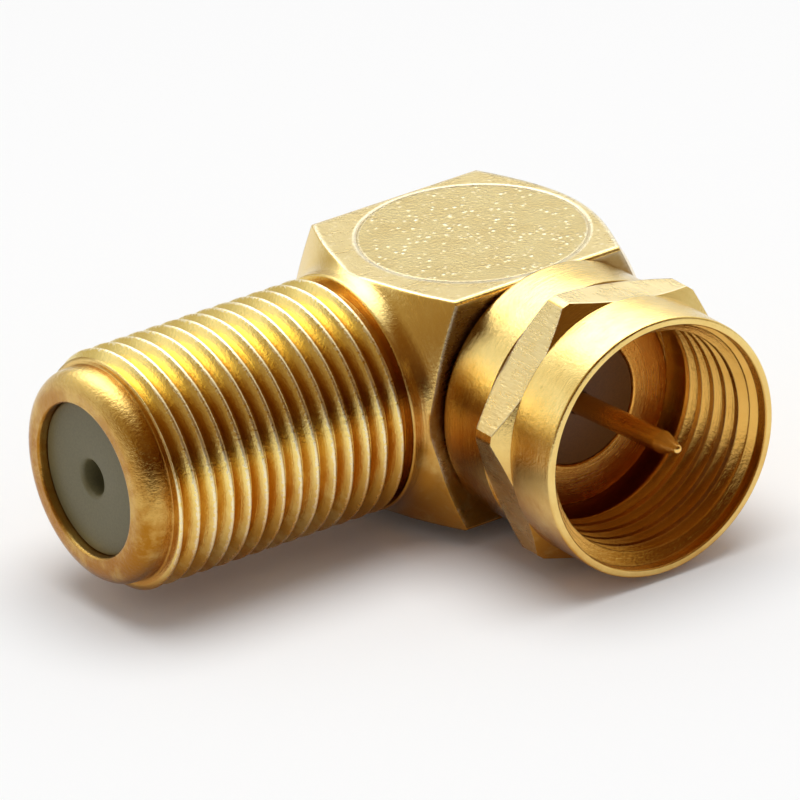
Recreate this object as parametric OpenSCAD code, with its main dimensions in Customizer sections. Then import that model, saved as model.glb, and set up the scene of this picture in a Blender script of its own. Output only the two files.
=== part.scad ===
// Right-angle coaxial adapter: a threaded jack on one end of a square elbow block,
// and a plug with a free-turning hex coupling nut on the side of it.
// Frame: +Z up, origin at the centre of the block's bottom flat, under the crossing
// of the two axes. The jack points along -X and the plug along -Y.

/* [Block] */
// Width across the flats of the square block
block_af = 9.7; // [9.5:0.1:10.5]
// Angle of the turned ends, measured from the end face
end_angle = 34; // [25:1:38]
// Radius of the flat face on the closed end
end_face_r = 4.2; // [3:0.1:4.6]
// From the plug axis to the closed end face
closed_reach = 5.3; // [5:0.1:7]
// From the plug axis to the root of the jack barrel
jack_shoulder = 5.6; // [5.2:0.1:6.6]
// Radius of the fillet between the barrel and the block
root_fillet = 1; // [0.4:0.1:1.4]
// Width of the chamfer along the block's four long edges
edge_chamfer = 0.12; // [0.05:0.01:0.3]

/* [Jack] */
// From the plug axis to the jack's front face
jack_reach = 18.5; // [17:0.1:22]
// Major diameter of the jack's thread
thread_d = 9.525; // [9.4:0.025:9.6]
// Pitch of the jack's and the nut's thread
thread_pitch = 0.79375; // [0.7:0.00625:1]
// Length of the plain collar behind the thread
collar_len = 0.8; // [0.6:0.1:1.5]
// Diameter of the plain nose in front of the thread
nose_d = 8.6; // [8.2:0.1:8.9]
// Length of the nose
nose_len = 1.2; // [0.9:0.1:2]
// Radius of the nose's rounded front edge
nose_round = 0.8; // [0.3:0.1:0.9]
// Diameter of the jack's bore
jack_bore_d = 6.2; // [5.8:0.1:6.6]
// How far the insulator lies behind the jack's front face
jack_recess = 0.4; // [0.2:0.1:0.8]

/* [Elbow] */
// Diameter of the disc that closes the elbow
cover_d = 9; // [8.4:0.1:9.2]
// Thickness of the disc
cover_t = 0.9; // [0.6:0.1:1.2]
// Width of the chamfer round the disc's top edge
cover_chamfer = 0.06; // [0.04:0.01:0.1]
// Diameter of the chamber under the disc
chamber_d = 6.4; // [6.3:0.1:7]
// Depth of the chamber's floor below the two axes
chamber_drop = 2.6; // [2.2:0.1:3.2]

/* [Jack contact] */
// Outer diameter of the slotted socket
contact_d = 2; // [1.8:0.1:2.4]
// Diameter of the socket's bore
contact_bore_d = 1; // [0.9:0.02:1.1]
// Depth of the socket's bore
contact_bore_len = 6.5; // [5:0.5:8]
// Thickness of the floor behind the socket's bore
socket_floor = 1; // [0.6:0.1:1.6]
// Length of the slots in the socket
slot_len = 5; // [3:0.5:6]
// Width of a slot
slot_w = 0.15; // [0.1:0.05:0.2]
// Diameter of the solid stem behind the socket
stem_d = 1.6; // [1.4:0.1:1.8]
// How far the stem runs past the plug axis
stem_over = 1; // [0.8:0.1:1.4]
// Diameter of the hole in the jack's insulator
entry_d = 1.4; // [1.4:0.1:1.8]
// Depth from the insulator's face to the socket's mouth
entry_len = 1.4; // [1:0.1:2]
// Length of the front insulator
front_insulator_len = 5; // [4:0.5:7]
// Length of the rear insulator
rear_insulator_len = 3; // [2:0.5:4]
// From the plug axis to the rear insulator
rear_insulator_start = 4; // [3.5:0.1:5]
// Clearance round the socket, so that its fingers can spread
contact_clearance = 0.1; // [0.05:0.05:0.2]

/* [Plug] */
// Outer diameter of the ferrule's tube
ferrule_d = 6.6; // [6.4:0.1:7]
// Diameter of the ferrule's flange
flange_d = 8.4; // [8:0.1:8.5]
// Thickness of the flange
flange_t = 0.85; // [0.6:0.05:1.2]
// Diameter of the plug's insulator
plug_insulator_d = 5.1; // [4.6:0.1:5.4]
// How deep the ferrule is pressed into the block
ferrule_seat = 2.2; // [1.4:0.1:2.4]
// Diameter of the centre pin where it stands free
pin_d = 0.9; // [0.7:0.05:1]
// Diameter of the pin's shank inside the insulator
shank_d = 1.3; // [1.1:0.1:1.6]
// How far the shank's shoulder stands out of the insulator
shank_proud = 0.1; // [0.05:0.05:0.4]
// Diameter of the pin's tail, soldered into the jack's contact
tail_d = 0.8; // [0.6:0.05:0.9]
// From the jack axis to the pin's tip
pin_reach = 13.3; // [12.6:0.1:15]
// Length of the pin's cone
pin_cone = 1.1; // [0.6:0.1:1.5]
// Diameter of the pin's blunt tip
pin_tip_d = 0.3; // [0.1:0.05:0.4]

/* [Coupling nut] */
// Width across the flats of the hex
nut_af = 10.4; // [10.2:0.1:11.2]
// Turn of the nut about the plug axis, where it was left
nut_turn = -9.7; // [-30:0.1:30]
// Diameter of the round stretches before and behind the hex
nut_d = 10.56; // [10.4:0.02:11]
// Diameter over the blunted corners of the hex
nut_corner_d = 11.8; // [11.4:0.1:12]
// From the jack axis to the nut's mouth
nut_reach = 12.1; // [11.6:0.1:13]
// From the jack axis to where the hex runs out on the round front
hex_front = 9.55; // [9.2:0.05:10]
// Length of the hex at the middle of a flat
hex_len = 1.85; // [1.6:0.05:2.4]
// Angle of the chamfer behind the hex, measured from the axis
hex_back_angle = 60; // [45:1:70]
// Angle of the chamfer in front of the hex, measured from the axis
hex_front_angle = 53; // [45:1:70]
// Radius of the nut's rounded back edge
nut_back_round = 0.35; // [0.1:0.05:0.5]
// Thickness of the web that the ferrule holds
web_t = 0.85; // [0.6:0.05:1.2]
// Diameter of the smooth band at the mouth
mouth_d = 9.9; // [9.7:0.05:10]
// Length of the smooth band
mouth_len = 0.8; // [0.5:0.1:1.2]
// Number of thread turns in the nut
nut_turns = 5; // [3:1:5]
// Clearance between the nut's thread and the jack's
thread_clearance = 0.02; // [0.01:0.01:0.05]
// Radial running clearance between the nut and the ferrule
run_clearance = 0.05; // [0.02:0.01:0.08]
// End float of the nut on each side of its web
end_float = 0.1; // [0.05:0.05:0.2]
// Width of the small chamfers on turned edges
turned_edge = 0.08; // [0.04:0.01:0.12]

/* [Hidden] */
$fn = 96;

// Cuts run this far past the faces they open
over = 1;
block_h = block_af / 2;

// Thread form: 60 degrees, with a crest of an eighth and a root of a quarter of the pitch
crest_w = thread_pitch / 8;
root_w = thread_pitch / 4;
flank_w = (thread_pitch - crest_w - root_w) / 2;
thread_depth = flank_w / tan(30);
thread_r = thread_d / 2;
thread_root_r = thread_r - thread_depth;

// Stations along the jack, from the plug axis
collar_end = jack_shoulder + collar_len;
nose_start = jack_reach - nose_len;
jack_turns = floor((nose_start - collar_end) / thread_pitch);
thread_start = nose_start - jack_turns * thread_pitch;
front_insulator_face = jack_reach - jack_recess;
socket_mouth = front_insulator_face - entry_len;

// Stations along the plug, from the jack axis
nut_back = block_h + end_float;
web_front = nut_back + web_t;
flange_back = web_front + end_float;
ferrule_face = flange_back + flange_t;
ferrule_root = block_h - ferrule_seat;
plug_insulator_face = ferrule_face - turned_edge;
shank_front = plug_insulator_face + shank_proud;
nut_thread_end = nut_reach - mouth_len;
nut_thread_start = nut_thread_end - nut_turns * thread_pitch;
nut_minor_r = thread_root_r + thread_clearance;
nut_major_r = thread_r + thread_clearance;
nut_r = nut_d / 2;
hex_back = hex_front - hex_len;
core_r = nut_af / 2 - turned_edge;

// Lays what is drawn along +Z onto the jack's axis, pointing along -X
module on_jack_axis() {
    translate([0, 0, block_h]) rotate([0, -90, 0]) children();
}

// Lays what is drawn along +Z onto the plug's axis, pointing along -Y
module on_plug_axis() {
    translate([0, 0, block_h]) rotate([90, 0, 0]) children();
}

// Outline of a row of thread ridges between an inner radius and the crests
function ridge_points(start, turns, root_r, crest_r) = [
    for (turn = [0:turns - 1])
        for (step = [
            [root_r, root_w / 2],
            [crest_r, root_w / 2 + flank_w],
            [crest_r, root_w / 2 + flank_w + crest_w],
            [root_r, root_w / 2 + 2 * flank_w + crest_w]
        ])
            [step[0], start + turn * thread_pitch + step[1]]
];

// A rod from one station to another
module rod(radius, from, to) {
    translate([0, 0, from]) cylinder(r = radius, h = to - from);
}

// The fillet's outline in the corner between the barrel and the block's turned end
module root_fillet_outline() {
    reach = root_fillet / tan((90 + end_angle) / 2);
    difference() {
        polygon([
            [thread_r - turned_edge, jack_shoulder - turned_edge],
            [thread_r - turned_edge, jack_shoulder + reach],
            [thread_r, jack_shoulder + reach],
            [thread_r + root_fillet, jack_shoulder + reach],
            [thread_r + reach * cos(end_angle), jack_shoulder - reach * sin(end_angle)]
        ]);
        translate([thread_r + root_fillet, jack_shoulder + reach]) circle(r = root_fillet);
    }
}

// The block's turned outline, which cuts the square bar's ends to cones
module block_turning() {
    far_r = block_h * sqrt(2) + over;
    slope = tan(end_angle);
    rotate_extrude()
    union() {
        polygon([
            [0, -closed_reach],
            [end_face_r, -closed_reach],
            [far_r, -closed_reach + (far_r - end_face_r) * slope],
            [far_r, jack_shoulder - (far_r - thread_r) * slope],
            [thread_r, jack_shoulder],
            [0, jack_shoulder]
        ]);
        root_fillet_outline();
    }
}

// The square bar with its long edges broken
module square_bar() {
    length = closed_reach + jack_shoulder + 2 * over;
    edge = block_h - edge_chamfer;
    translate([0, 0, -closed_reach - over])
    linear_extrude(height = length)
    polygon([
        [block_h, -edge], [block_h, edge], [edge, block_h], [-edge, block_h],
        [-block_h, edge], [-block_h, -edge], [-edge, -block_h], [edge, -block_h]
    ]);
}

// The barrel: collar, thread ridges and a nose with a rounded front edge
module barrel() {
    nose_r = nose_d / 2;
    rotate_extrude()
    union() {
        polygon(concat(
            [[0, 0], [thread_r, 0], [thread_r, collar_end - turned_edge]],
            [[thread_r - turned_edge, collar_end], [thread_root_r, collar_end]],
            ridge_points(thread_start, jack_turns, thread_root_r, thread_r),
            [[thread_root_r, nose_start], [nose_r, nose_start]],
            [[nose_r, jack_reach - nose_round], [0, jack_reach - nose_round]]
        ));
        square([nose_r - nose_round, jack_reach]);
        translate([nose_r - nose_round, jack_reach - nose_round]) circle(r = nose_round);
    }
}

module body() {
    color("goldenrod")
    difference() {
        on_jack_axis() union() {
            intersection() {
                square_bar();
                block_turning();
            }
            barrel();
        }
        on_jack_axis() rod(jack_bore_d / 2, 0, jack_reach + over);
        on_plug_axis() rod(ferrule_d / 2, 0, block_h + over);
        translate([0, 0, block_h - chamber_drop])
            cylinder(d = chamber_d, h = block_h + chamber_drop + over);
        translate([0, 0, block_af - cover_t]) cylinder(d = cover_d, h = cover_t + over);
    }
}

module cover_disc() {
    color("khaki")
    translate([0, 0, block_af - cover_t])
    rotate_extrude()
    polygon([
        [0, 0], [cover_d / 2, 0], [cover_d / 2, cover_t - cover_chamfer],
        [cover_d / 2 - cover_chamfer, cover_t], [0, cover_t]
    ]);
}

module front_insulator() {
    start = front_insulator_face - front_insulator_len;
    color("dimgray")
    on_jack_axis() difference() {
        rod(jack_bore_d / 2, start, front_insulator_face);
        rod(entry_d / 2, start - over, front_insulator_face + over);
        rod(contact_d / 2 + contact_clearance, start - over, socket_mouth);
    }
}

module rear_insulator() {
    end = rear_insulator_start + rear_insulator_len;
    color("gainsboro")
    on_jack_axis() difference() {
        rod(jack_bore_d / 2, rear_insulator_start, end);
        rod(stem_d / 2, rear_insulator_start - over, end + over);
    }
}

module jack_contact() {
    socket_root = socket_mouth - contact_bore_len;
    shoulder = socket_root - socket_floor;
    color("gold")
    difference() {
        on_jack_axis() difference() {
            union() {
                rod(contact_d / 2, shoulder, socket_mouth);
                rod(stem_d / 2, -stem_over, shoulder + turned_edge);
            }
            rod(contact_bore_d / 2, socket_root, socket_mouth + over);
            for (turn = [45, 135])
                rotate([0, 0, turn])
                translate([-contact_d, -slot_w / 2, socket_mouth - slot_len])
                    cube([2 * contact_d, slot_w, slot_len + over]);
        }
        on_plug_axis() rod(tail_d / 2, -contact_d, contact_d);
    }
}

module ferrule() {
    color("peru")
    on_plug_axis() difference() {
        union() {
            rod(ferrule_d / 2, ferrule_root, ferrule_face);
            rod(flange_d / 2, flange_back, ferrule_face);
        }
        rod(plug_insulator_d / 2, ferrule_root - over, ferrule_face + over);
        translate([0, 0, plug_insulator_face])
            cylinder(r1 = plug_insulator_d / 2, r2 = plug_insulator_d / 2 + 2 * turned_edge,
                h = 2 * turned_edge);
    }
}

module plug_insulator() {
    color("saddlebrown")
    on_plug_axis() difference() {
        rod(plug_insulator_d / 2, ferrule_root, plug_insulator_face);
        rod(shank_d / 2, ferrule_root - over, ferrule_face + over);
    }
}

module centre_pin() {
    color("gold")
    on_plug_axis()
    rotate_extrude()
    polygon([
        [0, -stem_d / 2], [tail_d / 2, -stem_d / 2], [tail_d / 2, ferrule_root],
        [shank_d / 2, ferrule_root], [shank_d / 2, shank_front], [pin_d / 2, shank_front],
        [pin_d / 2, pin_reach - pin_cone], [pin_tip_d / 2, pin_reach], [0, pin_reach]
    ]);
}

// The round back of the nut, up to the hex, with a core that reaches into the hex
module nut_round_back() {
    centre = nut_back + nut_back_round;
    rotate_extrude()
    union() {
        polygon([
            [0, centre], [nut_r, centre], [nut_r, hex_back],
            [core_r, hex_back], [core_r, hex_back + hex_len / 2], [0, hex_back + hex_len / 2]
        ]);
        translate([0, nut_back]) square([nut_r - nut_back_round, nut_back_round]);
        translate([nut_r - nut_back_round, centre]) circle(r = nut_back_round);
    }
}

// The hex, with its corners blunted and both of its ends chamfered
module nut_hex() {
    corner_r = nut_corner_d / 2;
    back_len = (corner_r - nut_af / 2) / tan(hex_back_angle);
    front_len = (corner_r - nut_r) / tan(hex_front_angle);
    intersection() {
        rotate([0, 0, nut_turn]) translate([0, 0, hex_back])
            cylinder(r = nut_af / 2 / cos(30), h = hex_len, $fn = 6);
        rotate_extrude()
        polygon([
            [0, hex_back], [nut_af / 2, hex_back], [corner_r, hex_back + back_len],
            [corner_r, hex_front - front_len], [nut_r, hex_front], [0, hex_front]
        ]);
    }
}

// The round front, with a core that reaches back into the hex
module nut_front() {
    rotate_extrude()
    polygon([
        [0, hex_front - hex_len / 2], [core_r, hex_front - hex_len / 2], [core_r, hex_front],
        [nut_r, hex_front], [nut_r, nut_reach - turned_edge],
        [nut_r - turned_edge, nut_reach], [0, nut_reach]
    ]);
}

// The nut's threaded inside, drawn as the solid that is cut away
module nut_inside() {
    rotate_extrude()
    polygon(concat(
        [[0, web_front], [nut_major_r, web_front], [nut_major_r, nut_thread_start]],
        ridge_points(nut_thread_start, nut_turns, nut_minor_r, nut_major_r),
        [[nut_major_r, nut_thread_end], [mouth_d / 2, nut_thread_end]],
        [[mouth_d / 2, nut_reach + over], [0, nut_reach + over]]
    ));
}

module coupling_nut() {
    color("darkgoldenrod")
    on_plug_axis() difference() {
        union() {
            nut_round_back();
            nut_hex();
            nut_front();
        }
        rod(ferrule_d / 2 + run_clearance, nut_back - over, web_front + over);
        nut_inside();
    }
}

body();
cover_disc();
front_insulator();
rear_insulator();
jack_contact();
ferrule();
plug_insulator();
centre_pin();
coupling_nut();
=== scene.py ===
# A gold-plated right-angle coaxial adapter: a threaded jack, a square elbow block and a
# plug with a loose hex nut. Lengths are in millimetres until mm turns them into metres.
import math

import bpy
import mathutils
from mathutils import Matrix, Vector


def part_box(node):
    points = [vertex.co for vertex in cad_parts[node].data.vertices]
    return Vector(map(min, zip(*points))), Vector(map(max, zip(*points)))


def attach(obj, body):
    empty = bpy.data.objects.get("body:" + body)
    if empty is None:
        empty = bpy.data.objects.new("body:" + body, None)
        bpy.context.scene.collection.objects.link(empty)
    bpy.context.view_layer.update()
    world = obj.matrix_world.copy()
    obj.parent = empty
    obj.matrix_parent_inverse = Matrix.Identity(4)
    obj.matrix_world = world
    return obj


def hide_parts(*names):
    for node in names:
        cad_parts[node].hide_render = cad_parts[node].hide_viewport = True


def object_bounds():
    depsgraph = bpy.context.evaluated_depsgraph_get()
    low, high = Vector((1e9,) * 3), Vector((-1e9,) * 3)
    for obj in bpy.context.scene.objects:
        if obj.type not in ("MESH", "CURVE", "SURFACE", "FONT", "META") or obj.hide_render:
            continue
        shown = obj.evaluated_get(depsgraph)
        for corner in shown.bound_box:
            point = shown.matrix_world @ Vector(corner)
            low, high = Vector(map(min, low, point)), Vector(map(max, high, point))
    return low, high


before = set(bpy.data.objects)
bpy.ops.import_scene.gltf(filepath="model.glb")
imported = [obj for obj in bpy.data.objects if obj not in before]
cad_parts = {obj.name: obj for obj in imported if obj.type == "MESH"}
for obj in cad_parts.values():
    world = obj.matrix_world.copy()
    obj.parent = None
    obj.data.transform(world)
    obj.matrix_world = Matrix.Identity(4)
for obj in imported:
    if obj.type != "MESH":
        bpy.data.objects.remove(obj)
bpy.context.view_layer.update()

# ---------------------------------------------------------------------------------------
# Block and barrel. One piece of brass: a square bar whose two ends are turned to cones,
# with a barrel turned and threaded 3/8-32 on one end. It is gold plated all over, the
# flats are left as drawn and tumbled, and the ends keep the fine lines of the lathe.
# ---------------------------------------------------------------------------------------
mm = 0.001

block_low, block_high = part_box("body")
axis_height = (block_low.z + block_high.z) / 2 / mm
half_block = block_high.y / mm
closed_reach = block_high.x / mm
jack_reach = -block_low.x / mm

# The point where the jack's axis and the plug's cross
CROSSING = mathutils.Vector((0, 0, axis_height * mm))
# Turns that lay a form drawn along +Z on the jack's axis, on the plug's, or leave it up
ON_JACK = mathutils.Matrix.Translation(CROSSING) @ mathutils.Matrix.Rotation(
    math.radians(-90), 4, "Y")
ON_PLUG = mathutils.Matrix.Translation(CROSSING) @ mathutils.Matrix.Rotation(
    math.radians(90), 4, "X")
UPRIGHT = mathutils.Matrix.Identity(4)

# Sides of a turned form, and the gap below which two points are one
ROUND = 192
WELD = 0.0005 * mm


def deselect():
    if bpy.context.object and bpy.context.object.mode != "OBJECT":
        bpy.ops.object.mode_set(mode="OBJECT")
    bpy.ops.object.select_all(action="DESELECT")


def pick(piece):
    deselect()
    piece.select_set(True)
    bpy.context.view_layer.objects.active = piece


def lay(piece, place):
    """Bakes a turn and a move into the mesh, and leaves the object at the origin."""
    pick(piece)
    piece.matrix_world = place @ piece.matrix_world
    bpy.ops.object.transform_apply(location=True, rotation=True, scale=True)


def arc(centre_r, centre_z, radius, start, end, steps):
    """Points (r, z) along an arc, with its angles in degrees measured from +r toward +z."""
    turns = [math.radians(start + (end - start) * i / steps) for i in range(steps + 1)]
    return [(centre_r + radius * math.cos(a), centre_z + radius * math.sin(a)) for a in turns]


def turned(name, outline, place, sides=ROUND):
    """A turned solid: a disc is drawn out ring by ring through the outline's (r, z)."""
    deselect()
    last_r, last_z = outline[0]
    bpy.ops.mesh.primitive_circle_add(
        vertices=sides, radius=last_r * mm, fill_type="NGON", location=(0, 0, last_z * mm))
    piece = bpy.context.object
    piece.name = name
    bpy.ops.object.transform_apply(location=True, rotation=False, scale=False)
    bpy.ops.object.mode_set(mode="EDIT")
    bpy.ops.mesh.select_all(action="SELECT")
    for r, z in outline[1:]:
        bpy.ops.mesh.extrude_region_move(
            TRANSFORM_OT_translate={"value": (0, 0, (z - last_z) * mm)})
        grow = r / last_r
        bpy.ops.transform.resize(value=(grow, grow, 1), center_override=(0, 0, z * mm))
        last_r, last_z = r, z
    bpy.ops.mesh.select_all(action="SELECT")
    bpy.ops.mesh.normals_make_consistent(inside=False)
    bpy.ops.object.mode_set(mode="OBJECT")
    lay(piece, place)
    return piece


def threaded_rod(name, form, pitch, start, end, turn, place):
    """A rod with a right-hand thread: the form (r, z) of one pitch is repeated along a line,
    wound once round the axis with a rise of one pitch, and cut off square at both ends."""
    deselect()
    before, after = 2, 1
    count = math.ceil((end - start) / pitch) + before + after
    points = [(r, start - before * pitch + z + k * pitch) for k in range(count) for r, z in form]
    first_r, first_z = points[0]
    bpy.ops.mesh.primitive_plane_add(size=mm, location=(first_r * mm, 0, first_z * mm))
    piece = bpy.context.object
    piece.name = name
    bpy.ops.object.transform_apply(location=True, rotation=False, scale=False)
    bpy.ops.object.mode_set(mode="EDIT")
    bpy.ops.mesh.select_mode(type="VERT")
    bpy.ops.mesh.select_all(action="SELECT")
    bpy.ops.mesh.merge(type="CENTER")
    for (last_r, last_z), (r, z) in zip(points, points[1:]):
        bpy.ops.mesh.extrude_region_move(
            TRANSFORM_OT_translate={"value": ((r - last_r) * mm, 0, (z - last_z) * mm)})
    bpy.ops.object.mode_set(mode="OBJECT")
    wind = piece.modifiers.new("wind", "SCREW")
    wind.axis = "Z"
    wind.angle = math.tau
    wind.screw_offset = pitch * mm
    wind.steps = wind.render_steps = ROUND
    wind.use_merge_vertices = False
    bpy.ops.object.modifier_apply(modifier=wind.name)
    bpy.ops.object.mode_set(mode="EDIT")
    bpy.ops.mesh.select_all(action="SELECT")
    bpy.ops.mesh.remove_doubles(threshold=2 * WELD)
    for station, outward in ((start, -1), (end, 1)):
        bpy.ops.mesh.select_all(action="SELECT")
        bpy.ops.mesh.bisect(
            plane_co=(0, 0, station * mm), plane_no=(0, 0, outward), use_fill=True,
            clear_outer=True, threshold=WELD / 5)
    bpy.ops.mesh.select_all(action="SELECT")
    bpy.ops.mesh.remove_doubles(threshold=WELD)
    bpy.ops.mesh.normals_make_consistent(inside=False)
    bpy.ops.object.mode_set(mode="OBJECT")
    lay(piece, place @ mathutils.Matrix.Rotation(math.radians(turn), 4, "Z"))
    return piece


def combine(piece, other, how):
    """Joins, cuts or intersects one solid with another, which is used up."""
    pick(piece)
    step = piece.modifiers.new("combine", "BOOLEAN")
    step.operation = how
    step.solver = "MANIFOLD"
    step.object = other
    bpy.ops.object.modifier_apply(modifier=step.name)
    bpy.data.objects.remove(other)


def smooth(piece, angle=32):
    """Shades rounds smooth and keeps the flats flat."""
    pick(piece)
    bpy.ops.object.mode_set(mode="EDIT")
    bpy.ops.mesh.select_all(action="SELECT")
    bpy.ops.mesh.remove_doubles(threshold=WELD)
    bpy.ops.object.mode_set(mode="OBJECT")
    bpy.ops.object.shade_smooth_by_angle(angle=math.radians(angle))
    step = piece.modifiers.new("even", "WEIGHTED_NORMAL")
    step.weight = 90
    step.keep_sharp = True
    bpy.ops.object.modifier_apply(modifier=step.name)


# The thread of the barrel and the nut: 32 turns to the inch, with flanks at 30 degrees
pitch = 25.4 / 32
thread_r = 9.525 / 2
flank_angle = 30
crest = 0.14
root = 0.05
thread_depth = (pitch - crest - root) / 2 / math.tan(math.radians(flank_angle))
root_r = thread_r - thread_depth


def thread_form(low, high):
    """One pitch of the thread, from the middle of a crest: its worn edge, a flank, the
    narrow root, and the next flank and edge."""
    edge = crest / 2
    blunt = 0.03
    brow = (high - 0.2 * blunt, 0.6 * edge)
    lip = (high - blunt, edge + 0.1 * blunt)
    return [
        (high, 0), brow, lip, (low, (pitch - root) / 2), (low, (pitch + root) / 2),
        (lip[0], pitch - lip[1]), (brow[0], pitch - brow[1])]


# A cutter reaches this far beyond what it cuts, and a step of a hair keeps two faces apart
spare = 1
hair = 0.01
# A turned form starts and ends as a disc of this radius
core_r = 0.5
edge_break = 0.05

# The bar: its long edges, and how far it is longer than the block before it is turned
bar_edge = 0.14
bar_excess = 3

# The turned ends: cones that leave a round face on the closed end, a fillet on the jack's
end_angle = 34
end_slope = math.tan(math.radians(end_angle))
end_face_r = 4.2
end_round = 0.4
end_round_centre_r = end_face_r - 0.12
far_r = half_block * math.sqrt(2) + spare
jack_shoulder = 5.6
fillet = 1.0
fillet_rise = fillet / math.tan(math.radians((90 + end_angle) / 2))

# The barrel, from inside the block: a collar, a narrow relief, the thread and a round nose
barrel_root = 1
collar_end = 6.4
relief = 0.42
under_r = root_r - 0.03
thread_turn = 232
nose_start = jack_reach - 1.2
nose_r = 4.3
nose_round = 0.8
bore_r = 3.1
mouth_chamfer = 0.06
mouth_flare = 0.2

# The hole for the plug, and the chamber under the closing disc with the disc's pocket
plug_hole_r = 3.3
block_top = 2 * axis_height
chamber_r = 3.2
chamber_floor = axis_height - 2.6
pocket_r = 4.5
pocket_depth = 0.9
rim_break = 0.005


def drawn_bar(name):
    """The square bar that the block is cut from, its long edges slightly round."""
    deselect()
    bpy.ops.mesh.primitive_cube_add(size=2 * mm, location=CROSSING)
    bar = bpy.context.object
    bar.name = name
    bar.scale = (closed_reach + bar_excess, half_block, half_block)
    bpy.ops.object.transform_apply(location=True, rotation=True, scale=True)
    bpy.ops.object.mode_set(mode="EDIT")
    bpy.ops.mesh.select_mode(type="EDGE")
    bpy.ops.mesh.select_all(action="DESELECT")
    bpy.ops.object.mode_set(mode="OBJECT")
    for edge in bar.data.edges:
        a, b = (bar.data.vertices[v].co for v in edge.vertices)
        edge.select = abs(a.x - b.x) > mm
    bpy.ops.object.mode_set(mode="EDIT")
    bpy.ops.mesh.bevel(offset=bar_edge * mm, segments=4)
    bpy.ops.object.mode_set(mode="OBJECT")
    return bar


body = drawn_bar("block_and_barrel")
turned_ends = turned("turned_ends", [
    (core_r, -closed_reach),
    *arc(end_round_centre_r, -closed_reach + end_round, end_round, -90, end_angle - 90, 3),
    (far_r, -closed_reach + (far_r - end_face_r) * end_slope),
    (far_r, jack_shoulder - (far_r - thread_r) * end_slope),
    *arc(thread_r + fillet, jack_shoulder + fillet_rise, fillet, 270 - end_angle, 180, 8),
    (core_r, jack_shoulder + fillet_rise)], ON_JACK)
combine(body, turned_ends, "INTERSECT")

barrel = turned("barrel", [
    (core_r, barrel_root), (thread_r, barrel_root), (thread_r, collar_end - edge_break),
    (thread_r - edge_break, collar_end), (under_r, collar_end),
    (under_r, nose_start - edge_break), (nose_r, nose_start),
    *arc(nose_r - nose_round, jack_reach - nose_round, nose_round, 0, 90, 10),
    (core_r, jack_reach)], ON_JACK)
thread = threaded_rod(
    "thread", thread_form(root_r, thread_r), pitch, collar_end + relief, nose_start,
    thread_turn, ON_JACK)
combine(barrel, thread, "UNION")
combine(body, barrel, "UNION")

bore = turned("bore", [
    (bore_r, 0), (bore_r, jack_reach - mouth_chamfer),
    (bore_r + mouth_flare, jack_reach - mouth_chamfer + mouth_flare),
    (bore_r + mouth_flare, jack_reach + spare)], ON_JACK)
combine(body, bore, "DIFFERENCE")
plug_hole = turned("plug_hole", [(plug_hole_r, 0), (plug_hole_r, half_block + spare)], ON_PLUG)
combine(body, plug_hole, "DIFFERENCE")
chamber = turned("chamber", [
    (chamber_r, chamber_floor), (chamber_r, block_top - pocket_depth - hair),
    (pocket_r, block_top - pocket_depth), (pocket_r, block_top - rim_break),
    (pocket_r + 2 * rim_break, block_top + rim_break),
    (pocket_r + 2 * rim_break, block_top + spare)], UPRIGHT)
combine(body, chamber, "DIFFERENCE")
smooth(body)


class Finish:
    """A material in the making. Its methods add nodes, and all but bump give back what
    comes out of them. Scales are in cells to the metre."""

    def __init__(self, name):
        self.material = bpy.data.materials.new(name)
        self.material.use_nodes = True
        self.nodes = self.material.node_tree.nodes
        self.wire = self.material.node_tree.links.new
        self.shader = self.nodes["Principled BSDF"]
        self.place = self.nodes.new("ShaderNodeTexCoord").outputs["Object"]

    def noise(self, scale, detail, roughness=0.5, vector=None):
        cloud = self.nodes.new("ShaderNodeTexNoise")
        cloud.inputs["Scale"].default_value = scale
        cloud.inputs["Detail"].default_value = detail
        cloud.inputs["Roughness"].default_value = roughness
        self.wire(self.place if vector is None else vector, cloud.inputs["Vector"])
        return cloud.outputs["Fac"]

    def spread(self, value, low, high, start=0.3, stop=0.7):
        """Low where the value is at its start or below, high where it is at its stop."""
        step = self.nodes.new("ShaderNodeMapRange")
        step.inputs["From Min"].default_value = start
        step.inputs["From Max"].default_value = stop
        step.inputs["To Min"].default_value = low
        step.inputs["To Max"].default_value = high
        self.wire(value, step.inputs["Value"])
        return step.outputs["Result"]

    def maths(self, kind, *values):
        step = self.nodes.new("ShaderNodeMath")
        step.operation = kind
        for socket, value in zip(step.inputs, values):
            if isinstance(value, float):
                socket.default_value = value
            else:
                self.wire(value, socket)
        return step.outputs["Value"]

    def blend(self, factor, under, over):
        """The colour under, covered by the plain colour over as far as the factor says."""
        step = self.nodes.new("ShaderNodeMix")
        step.data_type = "RGBA"
        self.wire(factor, step.inputs["Factor"])
        self.wire(under, step.inputs["A"])
        step.inputs["B"].default_value = (*over, 1)
        return step.outputs["Result"]

    def ramp(self, value, *stops):
        """A colour between two stops, each a place and a colour."""
        step = self.nodes.new("ShaderNodeValToRGB")
        for element, (at, colour) in zip(step.color_ramp.elements, stops):
            element.position = at
            element.color = (*colour, 1)
        self.wire(value, step.inputs["Fac"])
        return step.outputs["Color"]

    def bump(self, height, strength, distance, normal=None):
        """Raises the surface by the height, over the normal where one is given."""
        step = self.nodes.new("ShaderNodeBump")
        step.inputs["Strength"].default_value = strength
        step.inputs["Distance"].default_value = distance * mm
        self.wire(height, step.inputs["Height"])
        if normal is not None:
            self.wire(normal, step.inputs["Normal"])
        self.wire(step.outputs["Normal"], self.shader.inputs["Normal"])


def tinted(tone, share):
    """A colour with each of its parts scaled."""
    return [part * s for part, s in zip(tone, share)]


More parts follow.
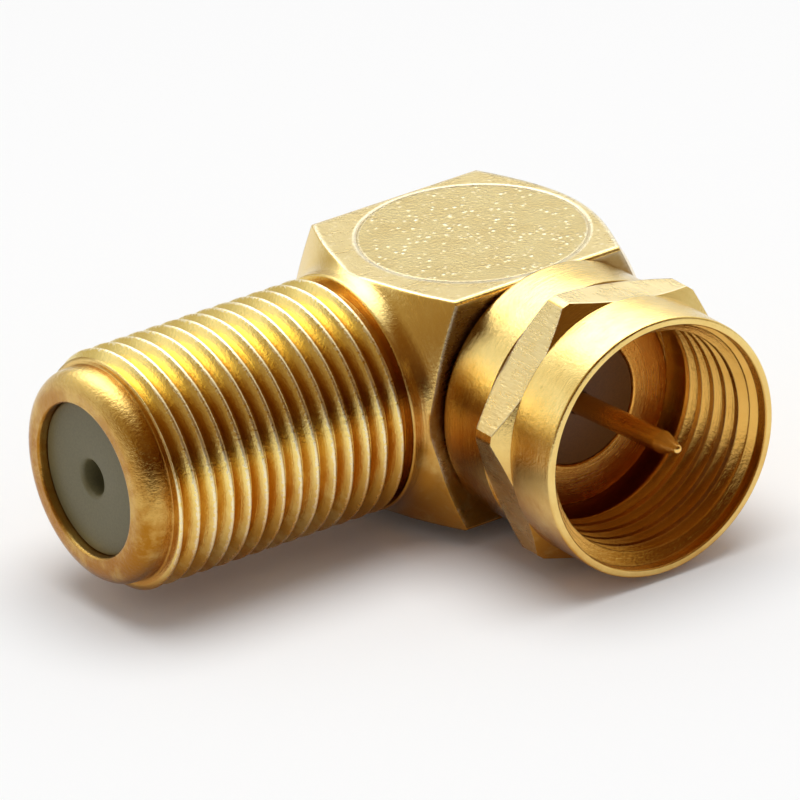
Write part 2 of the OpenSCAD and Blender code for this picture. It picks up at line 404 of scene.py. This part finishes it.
def tool_lines(finish, marks):
    """The tool's lines, ringed round an axis or stretched along the piece by three scales.
    The second value is the distance from the axis, which only rings have."""
    centre = finish.nodes.new("ShaderNodeMapping")
    centre.inputs["Location"].default_value = -CROSSING
    finish.wire(finish.place, centre.inputs["Vector"])
    if not isinstance(marks, str):
        centre.inputs["Scale"].default_value = marks
        return finish.noise(9000, 4, 0.7, centre.outputs["Vector"]), None
    split = finish.nodes.new("ShaderNodeSeparateXYZ")
    finish.wire(centre.outputs["Vector"], split.inputs["Vector"])
    across = [split.outputs[axis] for axis in "XYZ" if axis != marks]
    squares = [finish.maths("MULTIPLY", a, a) for a in across]
    away = finish.maths("SQRT", finish.maths("ADD", *squares))
    # A little of one way across breaks the rings, so that no line runs all the way round
    drift = finish.maths("MULTIPLY", across[0], 0.04)
    join = finish.nodes.new("ShaderNodeCombineXYZ")
    for part, socket in zip((split.outputs[marks], away, drift), join.inputs):
        finish.wire(part, socket)
    return finish.noise(11000, 4, 0.7, join.outputs["Vector"]), away


def scuffed(finish, away, fine, radius):
    """How much a crest is scuffed: all of it beyond the radius, with a ragged border."""
    ragged = finish.maths("ADD", away, finish.spread(fine, -0.09 * mm, 0.07 * mm))
    return finish.spread(ragged, 0.0, 1.0, (radius - 0.06) * mm, (radius - 0.035) * mm)


def worn_edge(finish, rounded, fine, amount):
    """How much an edge is worn: the more, the further its rounding leans off the face."""
    lean = finish.nodes.new("ShaderNodeVectorMath")
    lean.operation = "DOT_PRODUCT"
    finish.wire(rounded, lean.inputs[0])
    geometry = finish.nodes.new("ShaderNodeNewGeometry")
    finish.wire(geometry.outputs["True Normal"], lean.inputs[1])
    worn = finish.spread(lean.outputs["Value"], amount, 0.0, 0.99, 0.9993)
    return finish.maths("MULTIPLY", worn, finish.spread(fine, 0.6, 1.0))


def pimples(finish):
    """Small dots that stand in loose crowds."""
    cells = finish.nodes.new("ShaderNodeTexVoronoi")
    cells.inputs["Scale"].default_value = 3600
    finish.wire(finish.place, cells.inputs["Vector"])
    dots = finish.spread(cells.outputs["Distance"], 1.0, 0.0, 0.05, 0.4)
    crowds = finish.spread(finish.noise(1900, 3), 0.0, 1.0, 0.44, 0.64)
    return finish.maths("MULTIPLY", dots, crowds)


def painted_shade(finish, openness):
    """How much shade is painted into the colour: all of it where the ambient occlusion, reaching
    40 mm and counting the floor, leaves an openness to the light at the first value or less, and
    none from the second on, in uneven clouds."""
    sheltered = finish.nodes.new("ShaderNodeAmbientOcclusion")
    sheltered.samples = 8
    sheltered.inputs["Distance"].default_value = 40 * mm
    clouds = finish.spread(finish.noise(420, 6, 0.7), 1.3, 0.65, 0.38, 0.62)
    return finish.maths(
        "MULTIPLY", finish.spread(sheltered.outputs["AO"], 1.0, 0.0, *openness), clouds)


def gold(name, tone, rough, grain, marks=None, depth=0.5, edge=0.05, wear=0.0, specks=0.0,
         worn_r=0.0, painted_shade_span=None, shade_tone=(0.55, 0.31, 0.08)):
    """Bright gold plating: tone is its colour, rough its polish and grain its fine texture.
    marks are the tool's lines, as tool_lines takes them, and depth is how deep they are.
    edge is how far the edges are round, wear how pale they are rubbed, specks the size of
    the plating's pimples and worn_r the radius beyond which handling has scuffed it.
    The last two say where shade is painted into the colour as a darker brown: the openness to the
    light up to which it is full and from which it is gone, and that brown as a share of tone."""
    finish = Finish(name)
    finish.shader.inputs["Metallic"].default_value = 1
    patches = finish.noise(700, 5, 0.6)
    fine = finish.noise(7000, 5, 0.65)
    dull = tinted(tone, (0.93, 0.88, 0.76))
    colour = finish.ramp(patches, (0.32, dull), (0.62, tone))
    relief = finish.spread(fine, 0.0, grain)
    rougher = finish.spread(patches, rough * 0.75, rough * 1.3)
    if marks:
        lines, away = tool_lines(finish, marks)
        relief = finish.maths("ADD", relief, finish.spread(lines, 0.0, depth))
        rougher = finish.maths("ADD", rougher, finish.spread(lines, 0.0, rough * 0.5))
    if worn_r:
        scuff = scuffed(finish, away, fine, worn_r)
        colour = finish.blend(scuff, colour, (1.0, 0.88, 0.56))
        rougher = finish.maths("ADD", rougher, finish.spread(scuff, 0.0, 0.16, 0.0, 1.0))
    rounding = finish.nodes.new("ShaderNodeBevel")
    rounding.samples = 6
    rounding.inputs["Radius"].default_value = edge * mm
    rounded = rounding.outputs["Normal"]
    if wear:
        colour = finish.blend(
            worn_edge(finish, rounded, fine, wear), colour, (1.0, 0.92, 0.7))
    if specks:
        dots = pimples(finish)
        relief = finish.maths("ADD", relief, finish.spread(dots, 0.0, specks, 0.0, 1.0))
        pale = finish.spread(dots, 0.0, 0.23 * specks, 0.0, 0.8)
        colour = finish.blend(pale, colour, (1.0, 0.93, 0.7))
    # Painted shade: hollows, undersides and the sides near the floor turn brown by how far they
    # are shut in from the light
    if painted_shade_span:
        colour = finish.blend(painted_shade(finish, painted_shade_span), colour, tinted(tone, shade_tone))
    finish.wire(colour, finish.shader.inputs["Base Color"])
    finish.wire(rougher, finish.shader.inputs["Roughness"])
    finish.bump(relief, 1, 0.007, rounded)
    return finish.material


def dress(piece, material, body_name, replaced):
    """Gives a piece its finish, and says which body it rides on and which solid it shows."""
    piece.data.materials.clear()
    piece.data.materials.append(material)
    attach(piece, body_name)
    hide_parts(replaced)


# The openness between which the painted shade fades on the outside of the block and the nut
OUTSIDE = (0.25, 0.7)

turned_gold = gold(
    "turned_gold", (0.95, 0.72, 0.27), 0.12, 0.8, "X", 0.8, edge=0.15, painted_shade_span=OUTSIDE)
drawn_gold = gold(
    "drawn_gold", (0.47, 0.38, 0.18), 0.24, 1.4, (0.25, 1, 1), 0.6, edge=0.3, wear=1.0,
    specks=1.0, painted_shade_span=OUTSIDE)
thread_gold = gold(
    "thread_gold", (0.98, 0.78, 0.28), 0.1, 0.8, "X", 0.6, worn_r=thread_r, painted_shade_span=(0.24, 0.52))
nose_gold = gold(
    "nose_gold", (0.92, 0.67, 0.22), 0.1, 1.8, "X", 0.8, edge=0.1, painted_shade_span=(0.55, 1.02),
    shade_tone=(0.42, 0.23, 0.05))
dress(body, turned_gold, "adapter", "body")
for material in (drawn_gold, thread_gold, nose_gold):
    body.data.materials.append(material)
DRAWN, THREAD, NOSE = 1, 2, 3

# The flats are drawn, the barrel is threaded outside up to its nose, and the rest is turned
inside_wall_r = 3.5
for face in body.data.polygons:
    x, y, z = (face.center - CROSSING) / mm
    if x <= -nose_start:
        face.material_index = NOSE
    elif x < -collar_end + hair / 10:
        if math.hypot(y, z) > inside_wall_r:
            face.material_index = THREAD
    elif max(abs(face.normal.y), abs(face.normal.z)) > 0.999 and abs(x) < closed_reach:
        if max(abs(y), abs(z)) > half_block - 2 * hair:
            face.material_index = DRAWN

# ---------------------------------------------------------------------------------------
# Closing disc. A plated brass disc pressed flush into the top of the block, over the
# chamber where pin and contact are soldered. Its satin face is full of small pimples.
# ---------------------------------------------------------------------------------------
disc_low, disc_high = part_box("cover_disc")
disc_r = disc_high.x / mm
disc_top = disc_high.z / mm
disc_core_r = 1
disc = turned("closing_disc", [
    (disc_r, disc_low.z / mm), (disc_r, disc_top - rim_break), (disc_r - rim_break, disc_top),
    (disc_core_r, disc_top)], UPRIGHT)
smooth(disc)
disc_gold = gold(
    "disc_gold", (0.44, 0.355, 0.158), 0.22, 2.4, edge=0.16, wear=0.6, specks=3.0)
dress(disc, disc_gold, "adapter", "cover_disc")

# ---------------------------------------------------------------------------------------
# Jack insulator. A moulded plastic plug pressed into the barrel, a little below its
# front edge, with a hole that leads a pin into the socket behind it.
# ---------------------------------------------------------------------------------------
insulator_low, insulator_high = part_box("front_insulator")
insulator_face = -insulator_low.x / mm
insulator_back = -insulator_high.x / mm
insulator_edge = 0.1
insulator_core_r = 1.2
entry_r = 0.7
entry_round = 0.2
entry_depth = 1.5
entry_taper = 0.1
entry_end_r = 0.55
insulator = turned("jack_insulator", [
    (insulator_core_r, insulator_back), (bore_r, insulator_back),
    *arc(bore_r - insulator_edge, insulator_face - insulator_edge, insulator_edge, 0, 90, 4),
    *arc(entry_r + entry_round, insulator_face - entry_round, entry_round, 90, 180, 5),
    (entry_r, insulator_face - entry_depth + entry_taper),
    (entry_end_r, insulator_face - entry_depth)], ON_JACK)
smooth(insulator)


def plastic(name, tone, rough):
    """Moulded plastic with a faint grain."""
    finish = Finish(name)
    finish.shader.inputs["Roughness"].default_value = rough
    grain = finish.noise(14000, 3)
    dark = tinted(tone, (0.8, 0.8, 0.8))
    finish.wire(
        finish.ramp(grain, (0.3, dark), (0.7, tone)), finish.shader.inputs["Base Color"])
    finish.bump(grain, 0.3, 0.01)
    return finish.material


jack_plastic = plastic("jack_plastic", (0.155, 0.132, 0.058), 0.5)
dress(insulator, jack_plastic, "adapter", "front_insulator")

# The socket and the second insulator behind it are plain turned and moulded pieces that
# nothing shows, so they keep their own solids under the same finishes.
contact_gold = gold("contact_gold", (0.95, 0.7, 0.25), 0.15, 0.5)
for node, material in (("jack_contact", contact_gold), ("rear_insulator", jack_plastic)):
    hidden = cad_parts[node]
    hidden.data.materials.clear()
    hidden.data.materials.append(material)

# ---------------------------------------------------------------------------------------
# Ferrule, plug insulator and pin. A plated tube with a flange is pressed into the block
# and holds the nut; a plastic bush in it carries the pointed centre pin.
# ---------------------------------------------------------------------------------------
ferrule_low, ferrule_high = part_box("ferrule")
ferrule_face = -ferrule_low.y / mm
ferrule_root = -ferrule_high.y / mm
flange_r = ferrule_high.x / mm
flange_thickness = 0.85
flange_back = ferrule_face - flange_thickness
flange_chamfer = 0.06
flange_round = 0.12
bush_r = 2.55
bush_hole_round = 0.1
ferrule = turned("flanged_ferrule", [
    (bush_r, ferrule_root), (plug_hole_r, ferrule_root), (plug_hole_r, flange_back),
    (flange_r - flange_chamfer, flange_back), (flange_r, flange_back + flange_chamfer),
    *arc(flange_r - flange_round, ferrule_face - flange_round, flange_round, 0, 90, 4),
    *arc(bush_r + bush_hole_round, ferrule_face - bush_hole_round, bush_hole_round, 90, 180, 4),
    (bush_r, ferrule_root + hair)], ON_PLUG)
smooth(ferrule)
ferrule_gold = gold("ferrule_gold", (0.88, 0.44, 0.09), 0.2, 0.8, "Y", 0.8)
dress(ferrule, ferrule_gold, "adapter", "ferrule")

bush_low, bush_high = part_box("plug_insulator")
bush_face = -bush_low.y / mm
bush_root = -bush_high.y / mm
bush_edge = 0.08
shank_hole_r = 0.65
pin_hole_r = 0.48
pin_hole_chamfer = 0.02
pin_hole_depth = 0.15
bush = turned("plug_bush", [
    (shank_hole_r, bush_root), (bush_r, bush_root),
    *arc(bush_r - bush_edge, bush_face - bush_edge, bush_edge, 0, 90, 3),
    (pin_hole_r + pin_hole_chamfer, bush_face), (pin_hole_r, bush_face - pin_hole_chamfer),
    (pin_hole_r, bush_face - pin_hole_depth),
    (shank_hole_r, bush_face - pin_hole_depth - hair)], ON_PLUG)
smooth(bush)
bush_plastic = plastic("bush_plastic", (0.2, 0.075, 0.012), 0.45)
dress(bush, bush_plastic, "adapter", "plug_insulator")

pin_low, pin_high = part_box("centre_pin")
pin_tip = -pin_low.y / mm
pin_tail = -pin_high.y / mm
tail_r = 0.4
shank_r = 0.64
shank_end = bush_face - 0.2
pin_r = 0.45
cone_len = 1.1
point_len = 0.1
point_r = 0.17
point_round = 0.19
# Handling has bent the pin up a little, where it comes out of the bush
pin_lean = 3
lean = mathutils.Matrix.Translation((0, 0, bush_face * mm)) @ mathutils.Matrix.Rotation(
    math.radians(-pin_lean), 4, "X") @ mathutils.Matrix.Translation((0, 0, -bush_face * mm))
pin = turned("centre_pin_dressed", [
    (tail_r, pin_tail), (tail_r, ferrule_root), (shank_r, ferrule_root), (shank_r, shank_end),
    (pin_r, shank_end), (pin_r, pin_tip - cone_len), (point_r, pin_tip - point_len),
    *arc(0.0001, pin_tip - point_round, point_round, 30, 85, 8)], ON_PLUG @ lean, 64)
smooth(pin, 10)
pin_gold = gold("pin_gold", (0.95, 0.6, 0.18), 0.1, 0.6, "Y", 0.8, edge=0.02)
dress(pin, pin_gold, "adapter", "centre_pin")

# ---------------------------------------------------------------------------------------
# Coupling nut. Turned from brass and plated, with a short hex in its middle whose flats
# are milled, a thread of over five turns inside, and a web at its back that runs between
# the block and the ferrule's flange, so that the nut turns freely and can't come off.
# ---------------------------------------------------------------------------------------
nut_low, nut_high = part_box("coupling_nut")
nut_reach = -nut_low.y / mm
nut_back = -nut_high.y / mm
nut_r = 5.28
nut_core_r = 1
hex_half = 5.2
hex_front = 9.55
hex_back = 7.7
hex_turn = -9.7
corner_r = 5.9
back_angle = 60
front_angle = 53
back_len = (corner_r - hex_half) / math.tan(math.radians(back_angle))
front_len = (corner_r - nut_r) / math.tan(math.radians(front_angle))
deselect()
bpy.ops.mesh.primitive_cylinder_add(
    vertices=6, radius=hex_half / math.cos(math.radians(30)) * mm,
    depth=(hex_front - hex_back) * mm, location=(0, 0, (hex_front + hex_back) / 2 * mm),
    rotation=(0, 0, math.radians(hex_turn + 30)))
nut = bpy.context.object
nut.name = "coupling_nut_dressed"
lay(nut, ON_PLUG)
stock = turned("stock", [
    (nut_core_r, hex_back - hair / 10), (hex_half, hex_back - hair / 10),
    (corner_r, hex_back + back_len), (corner_r, hex_front - front_len), (nut_r, hex_front),
    (nut_core_r, hex_front + hair / 10)], ON_PLUG)
combine(nut, stock, "INTERSECT")

back_round = 0.35
front_round = 0.1
inside_hex_r = 5.0
rounds = turned("rounds", [
    (nut_core_r, nut_back),
    *arc(nut_r - back_round, nut_back + back_round, back_round, -90, 0, 8),
    (nut_r, hex_back), (inside_hex_r, hex_back + hair), (inside_hex_r, hex_front - hair),
    (nut_r, hex_front), *arc(nut_r - front_round, nut_reach - front_round, front_round, 0, 90, 4),
    (nut_core_r, nut_reach)], ON_PLUG)
combine(nut, rounds, "UNION")

# Inside, from the back: the web, an undercut, the thread between two cones, the mouth
web = 0.85
web_front = nut_back + web
web_hole_r = 3.35
web_edge_r = 3.9
undercut_r = 4.7825
nut_bore = 4.43
back_cone = 0.25
mouth_cone = 0.3
mouth_r = 4.95
mouth_depth = 0.5
full_turns = 5
thread_end = nut_reach - mouth_depth
thread_begin = thread_end - mouth_cone - full_turns * pitch
web_hole = turned(
    "web_hole", [(web_hole_r, nut_back - spare), (web_hole_r, web_front + spare)], ON_PLUG)
combine(nut, web_hole, "DIFFERENCE")
inside = turned("inside", [
    (web_edge_r, web_front), (undercut_r, web_front), (undercut_r, thread_begin),
    (nut_bore, thread_begin + back_cone), (nut_bore, thread_end - mouth_cone),
    (mouth_r, thread_end),
    (mouth_r, nut_reach - edge_break), (mouth_r + 2 * edge_break, nut_reach + edge_break),
    (mouth_r + 2 * edge_break, nut_reach + spare)], ON_PLUG)
combine(nut, inside, "DIFFERENCE")
tap_clearance = 0.02
tap = threaded_rod(
    "tap", thread_form(root_r + tap_clearance, thread_r + tap_clearance), pitch,
    thread_begin, thread_end, 0, ON_PLUG)
combine(nut, tap, "DIFFERENCE")
smooth(nut)

nut_gold = gold("nut_gold", (0.95, 0.72, 0.27), 0.11, 0.8, "Y", 0.8, painted_shade_span=OUTSIDE)
milled_gold = gold(
    "milled_gold", (0.8, 0.66, 0.34), 0.22, 1.6, (1, 0.1, 1), 1.2, edge=0.16, wear=0.8,
    painted_shade_span=OUTSIDE)
# Painted shade: the inside of the nut, apart from the lands, is coloured darker than its outside
shaded_inside_gold = gold("shaded_inside_gold", (0.76, 0.43, 0.1), 0.1, 0.8, "Y", 0.8, edge=0.08)
land_gold = gold("land_gold", (0.9, 0.66, 0.34), 0.13, 0.8, "Y", 0.8, edge=0.08)
dress(nut, nut_gold, "nut", "coupling_nut")
for material in (milled_gold, shaded_inside_gold, land_gold):
    nut.data.materials.append(material)
MILLED, SHADED_INSIDE, LAND = 1, 2, 3

# The flats are milled, and inside the nut all but the lands of the thread take a darker gold as
# painted shade, so the lands stay paler than the rest
for face in nut.data.polygons:
    middle = (face.center - CROSSING) / mm
    along = -middle.y
    away = math.hypot(middle.x, middle.z)
    if away < inside_hex_r and along > nut_back + 0.1:
        on_land = away < nut_bore + hair and along > thread_begin
        face.material_index = LAND if on_land else SHADED_INSIDE
    elif abs(face.normal.y) < 0.01 and abs(middle.dot(face.normal) - hex_half) < hair:
        face.material_index = MILLED

# ---------------------------------------------------------------------------------------
# Studio. A pale floor, soft lamps behind and above, and a long lens.
# ---------------------------------------------------------------------------------------
floor_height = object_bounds()[0][2]
deselect()
bpy.ops.mesh.primitive_plane_add(size=4, location=(0, 0, floor_height))
floor = bpy.context.object
floor.name = "floor"
bpy.ops.object.transform_apply(location=True, rotation=True, scale=True)
paper = bpy.data.materials.new("paper")
paper.use_nodes = True
sheet = paper.node_tree.nodes["Principled BSDF"]
sheet.inputs["Base Color"].default_value = (0.95, 0.95, 0.95, 1)
sheet.inputs["Roughness"].default_value = 1
sheet.inputs["Specular IOR Level"].default_value = 0
floor.data.materials.append(paper)

world = bpy.data.worlds.new("studio")
bpy.context.scene.world = world
world.use_nodes = True
sky, wires = world.node_tree.nodes, world.node_tree.links
look = sky.new("ShaderNodeTexCoord").outputs["Generated"]


def toward(azimuth, elevation):
    """The direction of a lamp: azimuth turns from +X to +Y, elevation rises from the floor."""
    a, e = math.radians(azimuth), math.radians(elevation)
    return math.cos(e) * math.cos(a), math.cos(e) * math.sin(a), math.sin(e)


def glow(direction, dark, bright, level, shape):
    """A brightness that grows between two cosines from a direction."""
    cosine = sky.new("ShaderNodeVectorMath")
    cosine.operation = "DOT_PRODUCT"
    cosine.inputs[1].default_value = direction
    wires.new(look, cosine.inputs[0])
    rise = sky.new("ShaderNodeMapRange")
    rise.interpolation_type = shape
    rise.inputs["From Min"].default_value = dark
    rise.inputs["From Max"].default_value = bright
    rise.inputs["To Max"].default_value = level
    wires.new(cosine.outputs["Value"], rise.inputs["Value"])
    return rise.outputs["Result"]


def soft_lamp(azimuth, elevation, full, gone, level):
    """A lamp that is full within one angle of its middle and gone beyond another."""
    return glow(toward(azimuth, elevation), math.cos(math.radians(gone)),
                math.cos(math.radians(full)), level, "SMOOTHSTEP")


# The studio as polished metal mirrors it: a wide glow behind, a faint one above, and lamps
glows = [glow((0.5, 0.75, 0), 0, 1, 0.71, "LINEAR"), glow((0, 0, 1), -0.1, 1, 0.22, "LINEAR")]
for lamp in (
        (62, 60, 24, 42, 1.0), (72, 56, 18, 30, 2.1), (103, 35, 1, 18, 0.6),
        (137, 23, 1, 24, 0.6), (10, 21, 32, 45, 0.4), (159, 13, 32, 72, 0.26),
        (-45, 0, 10, 18, 0.5)):
    glows.append(soft_lamp(*lamp))
total = glows[0]
for part in glows[1:]:
    add = sky.new("ShaderNodeMath")
    wires.new(total, add.inputs[0])
    wires.new(part, add.inputs[1])
    total = add.outputs["Value"]

# Its dark parts are warm, and its bright parts white
warm = sky.new("ShaderNodeValToRGB")
for at, tone in ((0, (1, 0.32, 0.03)), (0.19, (1, 0.47, 0.11)), (0.28, (1, 0.63, 0.26)),
                 (0.43, (1, 0.75, 0.41)), (0.58, (1, 0.89, 0.63)), (0.78, (1, 1, 1))):
    stop = warm.color_ramp.elements.new(at) if at else warm.color_ramp.elements[0]
    stop.color = (*tone, 1)
wires.new(total, warm.inputs["Fac"])
mirrored = sky.new("ShaderNodeBackground")
wires.new(warm.outputs["Color"], mirrored.inputs["Color"])
wires.new(total, mirrored.inputs["Strength"])

# All else is lit by plain white light, from all round and from one lamp overhead
plain = sky["Background"]
plain.inputs["Color"].default_value = (1, 1, 1, 1)
plain.inputs["Strength"].default_value = 0.45
choice = sky.new("ShaderNodeMixShader")
wires.new(sky.new("ShaderNodeLightPath").outputs["Is Glossy Ray"], choice.inputs["Fac"])
wires.new(plain.outputs["Background"], choice.inputs[1])
wires.new(mirrored.outputs["Background"], choice.inputs[2])
wires.new(choice.outputs["Shader"], sky["World Output"].inputs["Surface"])

overhead = bpy.data.lights.new("overhead", "AREA")
overhead.shape = "DISK"
overhead.size = 280 * mm
overhead_brightness = 3.3
overhead_area = math.pi * (overhead.size / 2) ** 2
overhead.energy = overhead_brightness * math.pi * overhead_area
overhead_lamp = bpy.data.objects.new("overhead", overhead)
bpy.context.scene.collection.objects.link(overhead_lamp)
overhead_lamp.location = (0, 0, 300 * mm)
overhead_lamp.visible_glossy = False

lens = bpy.data.cameras.new("long_lens")
lens.sensor_width = 36
lens.lens = 669.57
lens.clip_end = 10
camera = bpy.data.objects.new("camera", lens)
bpy.context.scene.collection.objects.link(camera)
camera.location = (-0.294819, -0.433007, 0.247280)
camera.rotation_euler = [math.radians(a) for a in (64.9472, 2.6894, -35.1640)]
bpy.context.scene.camera = camera
bpy.context.scene.view_settings.view_transform = "Standard"
